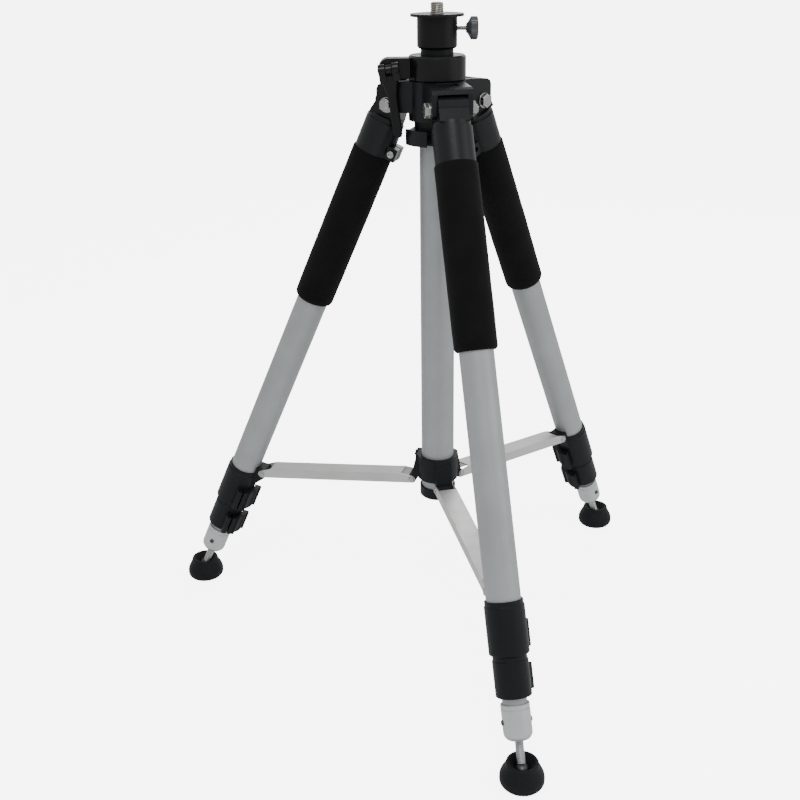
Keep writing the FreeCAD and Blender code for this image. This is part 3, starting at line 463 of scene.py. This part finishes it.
def thread_tree():
    """A cylinder whose side is drawn in along a helix."""
    sizes = {"Radius": "NodeSocketFloat", "Length": "NodeSocketFloat", "Pitch": "NodeSocketFloat",
             "Depth": "NodeSocketFloat", "Rows": "NodeSocketInt", "Material": "NodeSocketMaterial"}
    grower = Grower("screw_thread", sizes)
    given = grower.entry.outputs
    bar = grower.node("GeometryNodeMeshCylinder", None,
                      {"Vertices": 40, "Side Segments": given["Rows"], "Radius": given["Radius"],
                       "Depth": given["Length"]})[0]
    place = grower.node("GeometryNodeInputPosition")[0]
    parts = grower.node("ShaderNodeSeparateXYZ", None, {0: place})

    def sum_of(operation, first, second=0.0):
        return grower.node("ShaderNodeMath", {"operation": operation}, {0: first, 1: second})[0]

    turn = sum_of("DIVIDE", sum_of("ARCTAN2", parts[1], parts[0]), 2.0 * math.pi)
    phase = sum_of("FRACT", sum_of("SUBTRACT", sum_of("DIVIDE", parts[2], given["Pitch"]), turn))
    flank = sum_of("ABSOLUTE", sum_of("SUBTRACT", phase, 0.5))
    groove = sum_of("MULTIPLY", sum_of("SUBTRACT", 1.0, sum_of("MULTIPLY", flank, 2.0)), given["Depth"])
    shrink = sum_of("SUBTRACT", 1.0, sum_of("DIVIDE", groove, given["Radius"]))
    scale = grower.node("ShaderNodeCombineXYZ", None, {0: shrink, 1: shrink, 2: 1.0})[0]
    moved = grower.node("ShaderNodeVectorMath", {"operation": "MULTIPLY"}, {0: place, 1: scale})[0]
    grower.end(grower.node("GeometryNodeSetPosition", None, {0: bar, "Position": moved})[0])
    return grower


def copies_tree():
    """Copies one small part to each point, turned by the point's own angles."""
    grower = Grower("copied_part", {"Part": "NodeSocketObject", "Material": "NodeSocketMaterial"})
    part = grower.node("GeometryNodeObjectInfo", None, {"Object": grower.entry.outputs["Part"]})["Geometry"]
    turn = grower.node("GeometryNodeInputNamedAttribute", {"data_type": "FLOAT_VECTOR"}, {"Name": "turn"})[0]
    angle = grower.node("FunctionNodeEulerToRotation", None, {0: turn})[0]
    spread = grower.node("GeometryNodeInstanceOnPoints", None,
                         {"Points": grower.entry.outputs[0], "Instance": part, "Rotation": angle})[0]
    grower.end(spread)
    return grower


THREAD = thread_tree()
COPIES = copies_tree()


def thread(name, radius, length, pitch, depth, place, material):
    """A threaded bar that runs up Z from the place's origin."""
    holder = mesh_piece(name + "_seed", [(0, 0, 0)], [])
    rows = max(12, int(length / pitch * 8))
    lifted = place @ Matrix.Translation((0, 0, length / 2))
    return THREAD.bake(name, holder, {"Radius": radius, "Length": length, "Pitch": pitch, "Depth": depth,
                                      "Rows": rows, "Material": material}, lifted, 60.0)


def copies(name, part, places, material, sharp=30.0):
    """The same part at several places, as one mesh. The part itself is used up."""
    holder = mesh_piece(name + "_points", [p.to_translation() for p in places], [])
    turns = holder.data.attributes.new("turn", "FLOAT_VECTOR", "POINT")
    for entry, place in zip(turns.data, places):
        entry.vector = place.to_euler()
    made = COPIES.bake(name, holder, {"Part": part, "Material": material}, None, sharp)
    bpy.data.objects.remove(part)
    return made


# ---- small hardware ----
def hexagonal(angle, radius, height):
    """Draws a circle in to a hexagon of the same corner radius."""
    side = math.radians(60.0)
    return math.cos(side / 2) / math.cos((angle % side) - side / 2)


def hex_head(name, radius, thick, place=None):
    """A hexagon head standing on z = 0, chamfered at its outer face."""
    return lathe(name, [(radius, 0.0, 0.0), (radius, thick * 0.78, 0.0003), (radius * 0.9, thick, 0.0004),
                        (radius * 0.30, thick, 0.0)], place, 48, shape=hexagonal)


def socket_head(name, radius, thick, place=None):
    """A cap head with a hexagon socket, standing on z = 0."""
    socket = radius * 0.52
    shape = lambda angle, r, z: hexagonal(angle, r, z) if r <= socket * 1.01 else 1.0
    return lathe(name, [(radius, 0.0, 0.0), (radius, thick, 0.0008), (socket, thick, 0.0002),
                        (socket, thick * 0.5, 0.0), (socket * 0.2, thick * 0.45, 0.0)],
                 place, 36, shape=shape)


def rivet_head(name, radius, thick, place=None):
    """A domed head standing on z = 0."""
    return lathe(name, [(radius, 0.0, 0.0), (radius * 0.97, thick * 0.45, 0.0006),
                        (radius * 0.62, thick * 0.9, 0.001), (radius * 0.12, thick, 0.0)], place, 28)


def lobed_knob(name, radius, thick, lobes, place):
    """A hand knob standing on z = 0, with a cone towards its screw and rounded lobes."""
    def petals(angle, r, z):
        grip = min(1.0, max(0.0, (r - radius * 0.6) / (radius * 0.3)))
        return 1.0 - 0.16 * grip * (0.5 - 0.5 * math.cos(angle * lobes))
    return lathe(name, [(radius * 0.38, 0.0, 0.0), (radius * 0.46, thick * 0.10, 0.0006),
                        (radius * 0.80, thick * 0.30, 0.0012), (radius, thick * 0.38, 0.0018),
                        (radius, thick * 0.90, 0.0022), (radius * 0.84, thick, 0.0012),
                        (radius * 0.45, thick * 0.94, 0.0014), (radius * 0.08, thick * 0.92, 0.0)],
                 place, 96, shape=petals, sharp=50.0)


# ---- head ----
def build_stud():
    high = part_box("threaded_stud")[1]
    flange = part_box("adapter_body")[1].z
    place = Matrix.Translation((0, 0, flange - 0.001))
    length = high.z - flange + 0.001 - 0.0012
    bar = thread("stud_thread", STUD_RADIUS, length, STUD_PITCH, STUD_THREAD_DEPTH, place, STEEL)
    tip = lathe("stud_tip", [(STUD_RADIUS - 0.0008, 0.0, 0.0), (STUD_RADIUS - 0.0012, 0.0004, 0.0),
                             (STUD_RADIUS - 0.0024, 0.0012, 0.0004), (STUD_RADIUS * 0.2, 0.0011, 0.0)],
                Matrix.Translation((0, 0, high.z - 0.0013)))
    settle(merge("stud_thread", [bar, tip]), "adapter", "stud_steel", STEEL, "threaded_stud")


def build_thumbscrew():
    turn = joint("thumbscrew_turn")
    shank_low, shank_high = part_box("thumbscrew_shank")
    across = Vector(turn["axis"])
    tip = Vector((0, 0, turn["pos_m"][2])) + across * 0.009
    length = Vector((shank_high.x, shank_low.y)).length - 0.011
    shank = thread("thumb_thread", SHANK_RADIUS, length, SHANK_PITCH, 0.0004,
                   axes_at(tip, (0, 0, 1), across), STEEL)
    settle(shank, "thumbscrew", "stud_steel", STEEL, "thumbscrew_shank")
    start = Vector((0, 0, turn["pos_m"][2])) + across * (DRUM_RADIUS + KNOB_OFF_DRUM)
    knob = lobed_knob("thumb_knob", KNOB_RADIUS, KNOB_THICK, 6, axes_at(start, (0, 0, 1), across))
    settle(knob, "thumbscrew", "knob_plastic", KNOB, "thumbscrew_knob")


def build_hinge_bolts():
    """Head, washers, nut and thread end of each hinge bolt."""
    places = [hinge_place(leg) for leg in LEGS]
    flip = Matrix.Rotation(math.pi, 4, "X")
    out = Matrix.Translation((0, 0, EAR_HALF_WIDTH))
    seat = Matrix.Translation((0, 0, EAR_HALF_WIDTH + WASHER_THICK))
    end = Matrix.Translation((0, 0, EAR_HALF_WIDTH + WASHER_THICK + HEX_THICK - 0.001))
    washer = lathe("washer", [(WASHER_RADIUS, 0.0, 0.0), (WASHER_RADIUS, WASHER_THICK, 0.0004),
                              (BOLT_RADIUS * 0.5, WASHER_THICK, 0.0)])
    washers = copies("washers", washer, [p @ m for p in places for m in (out, flip @ out)], ZINC)
    head = hex_head("head", HEX_RADIUS, HEX_THICK)
    heads = copies("heads", head, [p @ m for p in places for m in (seat, flip @ seat)], ZINC)
    tail = thread("tail", BOLT_RADIUS, 0.0032, BOLT_PITCH, 0.0005, Matrix.Identity(4), ZINC)
    tails = copies("tails", tail, [p @ end for p in places], ZINC, 60.0)
    settle(merge("hinge_hardware", [washers, heads, tails]), "head", "zinc_steel", ZINC, "hinge_bolts")


def build_cam_handle():
    """A forked lever that narrows below its barrel and bows outwards towards its tip."""
    turn = joint("clamp_lever_turn")
    across = Vector(turn["axis"])
    down = Vector((0, 0, -1))
    down = (down - across * down.dot(across)).normalized()
    place = axes_at(turn["pos_m"], down, across)
    rows = 22
    vertices = []
    faces = []
    ring = 16
    for row in range(rows + 1):
        t = row / rows
        x = CAM_START + (CAM_LENGTH - CAM_START) * t
        half_wide = 0.0055 + 0.0065 * max(0.0, 1.0 - t * 2.6) ** 1.4
        half_wide *= 1.0 - 0.35 * max(0.0, (t - 0.9) / 0.1) ** 2
        half_thick = 0.0034 - 0.0012 * t
        bow = 0.0010 + 0.0016 * math.sin(t * math.pi * 1.1)
        for step in range(ring):
            angle = 2.0 * math.pi * step / ring
            c, s = math.cos(angle), math.sin(angle)
            wide = half_wide * abs(c) ** 0.45 * (1 if c >= 0 else -1)
            thick = half_thick * abs(s) ** 0.6 * (1 if s >= 0 else -1)
            vertices.append((x, thick - bow, wide))
    for row in range(rows):
        for step in range(ring):
            beside = (step + 1) % ring
            a = row * ring
            faces.append((a + step, a + beside, a + ring + beside, a + ring + step))
    faces.append(tuple(reversed(range(ring))))
    faces.append(tuple(range(rows * ring, (rows + 1) * ring)))
    parts = [mesh_piece("cam_blade", vertices, faces, place, 50.0)]
    for side in (-1, 1):
        cheek = lathe("cam_cheek", [(0.0022, 0.0, 0.0), (0.0070, 0.0, 0.0008), (0.0070, 0.0080, 0.0012),
                                    (0.0030, 0.0084, 0.0006), (0.0014, 0.0078, 0.0)],
                      place @ Matrix.Rotation(0 if side > 0 else math.pi, 4, "X")
                      @ Matrix.Translation((0, 0, CAM_CHEEK_IN)), 36)
        parts.append(cheek)
        shoulder = [(0.000, -0.0052), (0.014, -0.0046), (0.014, 0.0030), (0.000, 0.0052)]
        low, high = (CAM_CHEEK_IN, CAM_CHEEK_OUT) if side > 0 else (-CAM_CHEEK_OUT, -CAM_CHEEK_IN)
        corners = [(x, y, z) for z in (low, high) for x, y in shoulder]
        sides = [(0, 3, 2, 1), (4, 5, 6, 7)] + [(k, (k + 1) % 4, (k + 1) % 4 + 4, k + 4) for k in range(4)]
        parts.append(mesh_piece("cam_shoulder", corners, sides, place))
    settle(merge("cam_handle", parts), "clamp_lever", "ring_black", GLOSS, "cam_lever")
    pin_heads = []
    for side in (-1, 1):
        turned = (place @ Matrix.Rotation(0 if side > 0 else math.pi, 4, "X")
                  @ Matrix.Translation((0, 0, CAM_CHEEK_OUT - 0.0003)))
        pin_heads.append(rivet_head("cam_pin", 0.0030, 0.0012, turned))
    settle(merge("cam_pin_heads", pin_heads), "clamp_lever", "zinc_steel", ZINC)


# ---- hub ----
def build_hub_parts():
    """Rivets through the hub's tongues, and the knob of its lock screw."""
    places = []
    for leg in LEGS:
        arm = joint(f"arm_fold_{leg}")
        middle = axes_at(arm["pos_m"], (0, 0, 1), arm["axis"])
        for flip in (Matrix.Identity(4), Matrix.Rotation(math.pi, 4, "X")):
            places.append(middle @ flip @ Matrix.Translation((0, 0, ARM_HALF_WIDTH + 0.0003)))
    heads = copies("hub_rivets", rivet_head("rivet", RIVET_RADIUS, 0.0016), places, ZINC)
    settle(heads, "hub", "zinc_steel", ZINC, "hub_pins")
    lock = joint("hub_lock_turn")
    across = Vector(lock["axis"])
    start = Vector((0, 0, lock["pos_m"][2])) + across * HUB_KNOB_OUT
    knob = lobed_knob("hub_knob", HUB_KNOB_RADIUS, HUB_KNOB_THICK, 8, axes_at(start, (0, 0, 1), across))
    settle(knob, "hub_lock", "knob_plastic", PLASTIC, "hub_lock_screw")


# ---- legs ----
def build_grip(leg):
    """A foam sleeve that swells a little between its ends."""
    def swell(angle, r, z):
        if r < GRIP_RADIUS * 0.9:
            return 1.0
        wander = math.sin(z * 61.0 + angle * 2.0 + leg) + math.sin(z * 143.0 - angle * 3.0)
        return 1.0 + 0.0022 * wander
    inner = UPPER_TUBE_RADIUS + 0.0001
    rows = 26
    span = GRIP_BOTTOM - GRIP_TOP
    side = []
    for row in range(rows + 1):
        t = row / rows
        side.append((GRIP_RADIUS + 0.0003 * math.sin(math.pi * t),
                     -GRIP_TOP - 0.002 - (span - 0.006) * t, 0.0))
    corners = [(inner, -GRIP_BOTTOM, 0.0), (inner, -GRIP_TOP, 0.0), (GRIP_RADIUS - 0.0010, -GRIP_TOP, 0.0008)]
    corners += side
    corners += [(GRIP_RADIUS - 0.0009, -GRIP_BOTTOM + 0.0016, 0.0), (GRIP_RADIUS - 0.0026, -GRIP_BOTTOM, 0.0)]
    sleeve = lathe(f"foam_sleeve_{leg}", list(reversed(corners)), leg_place(leg), 64, True, swell, 50.0)
    settle(sleeve, f"leg_{leg}", "foam", FOAM, f"foam_grip_{leg}")


def build_pinch_bolt(leg):
    place = leg_place(leg) @ Matrix.Translation((-PINCH_IN, 0, -PINCH_AT))
    face = place @ Matrix.Rotation(-math.pi / 2, 4, "X") @ Matrix.Translation((0, 0, PINCH_HALF))
    head = socket_head(f"pinch_bolt_{leg}", PINCH_HEAD_RADIUS, PINCH_HEAD_THICK, face)
    settle(head, f"leg_{leg}", "zinc_steel", ZINC, f"pinch_screw_{leg}")


def build_arm_rivets(leg):
    """Domed rivets where the arm's ears straddle the clamp's tongue."""
    arm = joint(f"arm_fold_{leg}")
    start = Vector(arm["pos_m"])
    out = Vector((start.x, start.y, 0)).normalized()
    fall = Vector((0, 0, ARM_LENGTH * math.sin(ARM_DROP)))
    end = start + out * (ARM_LENGTH * math.cos(ARM_DROP)) - fall
    middle = axes_at(end, (0, 0, 1), arm["axis"])
    places = [middle @ flip @ Matrix.Translation((0, 0, ARM_HALF_WIDTH + 0.0008))
              for flip in (Matrix.Identity(4), Matrix.Rotation(math.pi, 4, "X"))]
    heads = copies(f"arm_rivets_{leg}", rivet_head("rivet", RIVET_RADIUS * 1.04, 0.0014), places, ZINC)
    settle(heads, f"spreader_arm_{leg}", "zinc_steel", ZINC)


def build_latch_ribs(leg, level, radius, top, bottom):
    """Finger ridges on the free end of a latch."""
    rib = lathe("rib", [(0.0008, 0.0, 0.0), (RIB_RADIUS, (bottom - top) * 0.08, 0.0),
                        (RIB_RADIUS, (bottom - top) * 0.92, 0.0), (0.0008, bottom - top, 0.0)], None, 12)
    start = math.asin(LATCH_PIN_OFF / (radius + 0.00035)) + math.radians(22.0)
    places = []
    for step in range(5):
        angle = LATCH_TURN + start + RIB_STEP * step
        at = Vector(((radius + RIB_OUT) * math.cos(angle), (radius + RIB_OUT) * math.sin(angle), -bottom))
        places.append(leg_place(leg) @ Matrix.Translation(at) @ Matrix.Rotation(angle, 4, "Z"))
    ribs = copies(f"{level}_latch_ribs_{leg}", rib, places, PLASTIC)
    settle(ribs, f"{level}_latch_body_{leg}", "plastic_black", PLASTIC)


def build_ferrule(leg):
    """A turned end cap with a seam groove, held by two small screws."""
    bore = LOWER_TUBE_RADIUS + 0.0001
    seam = FERRULE_RADIUS - 0.0006
    corners = [(bore, -FERRULE_TOP - 0.020, 0.0), (bore, -FERRULE_TOP, 0.0),
               (FERRULE_RADIUS, -FERRULE_TOP, 0.0008), (FERRULE_RADIUS, -FERRULE_TOP - 0.0050, 0.0002),
               (seam, -FERRULE_TOP - 0.0052, 0.0), (seam, -FERRULE_TOP - 0.0060, 0.0),
               (FERRULE_RADIUS, -FERRULE_TOP - 0.0062, 0.0002),
               (FERRULE_RADIUS, -FERRULE_BOTTOM + 0.0050, 0.0030),
               (FERRULE_RADIUS - 0.0040, -FERRULE_BOTTOM, 0.0016), (0.0055, -FERRULE_BOTTOM, 0.0004),
               (0.0055, -FERRULE_BOTTOM + 0.010, 0.0)]
    cap = lathe(f"ferrule_cap_{leg}", list(reversed(corners)), leg_place(leg), 64, True)
    settle(cap, f"lower_section_{leg}", "ferrule_alu", FERRULE, f"end_ferrule_{leg}")
    middle = leg_place(leg) @ Matrix.Translation((0, 0, -(FERRULE_TOP + FERRULE_BOTTOM) / 2))
    places = [middle @ Matrix.Rotation(turn, 4, "X") @ Matrix.Translation((0, 0, FERRULE_RADIUS - 0.0004))
              for turn in (math.pi / 2, -math.pi / 2)]
    screws = copies(f"ferrule_screws_{leg}", socket_head("small_screw", 0.0030, 0.0018), places, DARK_STEEL)
    settle(screws, f"lower_section_{leg}", "zinc_steel", DARK_STEEL)


def build_ball_stud(leg):
    """The threaded rod under the ferrule, and the ball on its end."""
    start = leg_place(leg) @ Matrix.Translation((0, 0, -BALL_AT + BALL_RADIUS * BALL_EXPOSED))
    length = BALL_AT - BALL_RADIUS * BALL_EXPOSED - FERRULE_BOTTOM + ROD_IN
    rod = thread("rod", BOLT_RADIUS, length, BOLT_PITCH, 0.0006, start, STEEL)
    half = [(BALL_RADIUS * math.sin(a), -BALL_RADIUS * math.cos(a), 0.0)
            for a in [math.pi * (k + 0.25) / 20 for k in range(20)]]
    ball = lathe("ball", half, leg_place(leg) @ Matrix.Translation((0, 0, -BALL_AT)), 40, sharp=60.0)
    settle(rod, f"lower_section_{leg}", "stud_steel", ROD, f"foot_rod_{leg}")
    settle(ball, f"lower_section_{leg}", "stud_steel", DARK_STEEL)


def build_foot(leg):
    """A flared rubber boot with a rolled base, a rim round the socket and a grooved sole."""
    centre = Vector(joint(f"foot_tilt_{leg}")["pos_m"])
    place = Matrix.Translation((centre.x, centre.y, 0))
    ball = centre.z
    lip = [(SOCKET_RADIUS * math.sin(a), ball - SOCKET_RADIUS * math.cos(a), 0.0)
           for a in [math.radians(116.0 - 12.0 * k) for k in range(10)]]
    corners = [(0.0004, ball - SOCKET_RADIUS, 0.0)] + list(reversed(lip))
    corners += [(FOOT_MOUTH_RADIUS, FOOT_HEIGHT, 0.0010), (FOOT_RIM_RADIUS, FOOT_HEIGHT, 0.0014),
                (FOOT_RIM_RADIUS + 0.0012, FOOT_HEIGHT - 0.0050, 0.0020),
                (FOOT_BASE_RADIUS, 0.0130, 0.0075), (FOOT_BASE_RADIUS, 0.0042, 0.0030),
                (FOOT_BASE_RADIUS - 0.0036, 0.0, 0.0016), (FOOT_BASE_RADIUS - 0.0070, 0.0, 0.0),
                (FOOT_BASE_RADIUS - 0.0076, 0.0010, 0.0), (FOOT_BASE_RADIUS - 0.0090, 0.0010, 0.0),
                (FOOT_BASE_RADIUS - 0.0096, 0.0, 0.0), (0.0004, 0.0, 0.0)]
    boot = lathe(f"foot_boot_{leg}", list(reversed(corners)), place, 64, sharp=40.0)
    settle(boot, f"foot_{leg}", "foot_rubber", RUBBER, f"rubber_foot_{leg}")


# ---- finishes of the design's own parts ----
def paint(node, material):
    data = frame["nodes"][node].data
    data.materials.clear()
    data.materials.append(material)


def paint_all():
    paint("spider", CASTING)
    for node in ("clamp_ring", "cam_lever"):
        paint(node, GLOSS)
    for node in ("column_tube", "centre_tube"):
        paint(node, COLUMN_TUBE)
    for node in ("column_top_plug", "tube_end_plug", "spreader_hub"):
        paint(node, PLASTIC)
    paint("adapter_body", ADAPTER)
    paint("clamp_bolt", GLOSS)
    for leg in LEGS:
        paint(f"leg_casting_{leg}", CASTING)
        paint(f"arm_{leg}", arm_finish(leg))
        for tube in ("upper_tube", "mid_tube", "lower_tube"):
            paint(f"{tube}_{leg}", LEG_TUBE[leg])
        for moulding in ("upper_clamp", "lower_clamp", "upper_latch", "lower_latch"):
            paint(f"{moulding}_{leg}", PLASTIC)


# ---- floor, light and camera ----
def build_stage():
    half = 6.0
    level = -0.0002
    floor = mesh_piece("studio_floor", [(-half, -half, level), (half, -half, level), (half, half, level),
                                        (-half, half, level)], [(0, 1, 2, 3)])
    floor.data.materials.append(floor_finish())
    world = bpy.data.worlds.new("studio")
    bpy.context.scene.world = world
    world.use_nodes = True
    sky = world.node_tree.nodes["Background"]
    sky.inputs["Color"].default_value = (1.0, 1.0, 1.0, 1.0)
    path = world.node_tree.nodes.new("ShaderNodeLightPath")
    strength = world.node_tree.nodes.new("ShaderNodeMapRange")
    strength.inputs["To Min"].default_value = 0.95
    strength.inputs["To Max"].default_value = 6.5
    world.node_tree.links.new(path.outputs["Is Camera Ray"], strength.inputs["Value"])
    world.node_tree.links.new(strength.outputs["Result"], sky.inputs["Strength"])
    for name, place, power, size in (("key", (-0.35, -1.2, 2.1), 22.0, 0.9),
                                     ("fill", (1.9, -1.3, 1.3), 16.0, 1.6),
                                     ("rim", (0.9, 1.9, 1.9), 20.0, 1.2)):
        light = bpy.data.lights.new(name, "AREA")
        light.energy = power
        light.size = size
        lamp = bpy.data.objects.new(name, light)
        lamp.location = place
        lamp.rotation_euler = (Vector((0, 0, 0.4)) - Vector(place)).to_track_quat("-Z", "Y").to_euler()
        bpy.context.scene.collection.objects.link(lamp)


def build_camera():
    data = bpy.data.cameras.new("camera")
    data.lens = 50.2
    data.sensor_width = 36.0
    data.shift_y = -0.0256
    camera = bpy.data.objects.new("camera", data)
    heading = math.radians(-13.07)
    tilt = math.radians(90.0 - 21.7)
    roll = math.radians(-0.85)
    start = Matrix.Rotation(heading, 4, "Z") @ Vector((-0.0485, -1.3377, 0.8806))
    turn = Matrix.Rotation(heading, 4, "Z") @ Matrix.Rotation(tilt, 4, "X") @ Matrix.Rotation(roll, 4, "Z")
    camera.matrix_world = Matrix.Translation(start) @ turn
    bpy.context.scene.collection.objects.link(camera)
    bpy.context.scene.camera = camera


paint_all()
build_stud()
build_thumbscrew()
build_hinge_bolts()
build_cam_handle()
build_hub_parts()
for leg_number in LEGS:
    build_grip(leg_number)
    build_pinch_bolt(leg_number)
    build_arm_rivets(leg_number)
    build_latch_ribs(leg_number, "upper", *UPPER_LATCH)
    build_latch_ribs(leg_number, "lower", *LOWER_LATCH)
    build_ferrule(leg_number)
    build_ball_stud(leg_number)
    build_foot(leg_number)
build_stage()
build_camera()
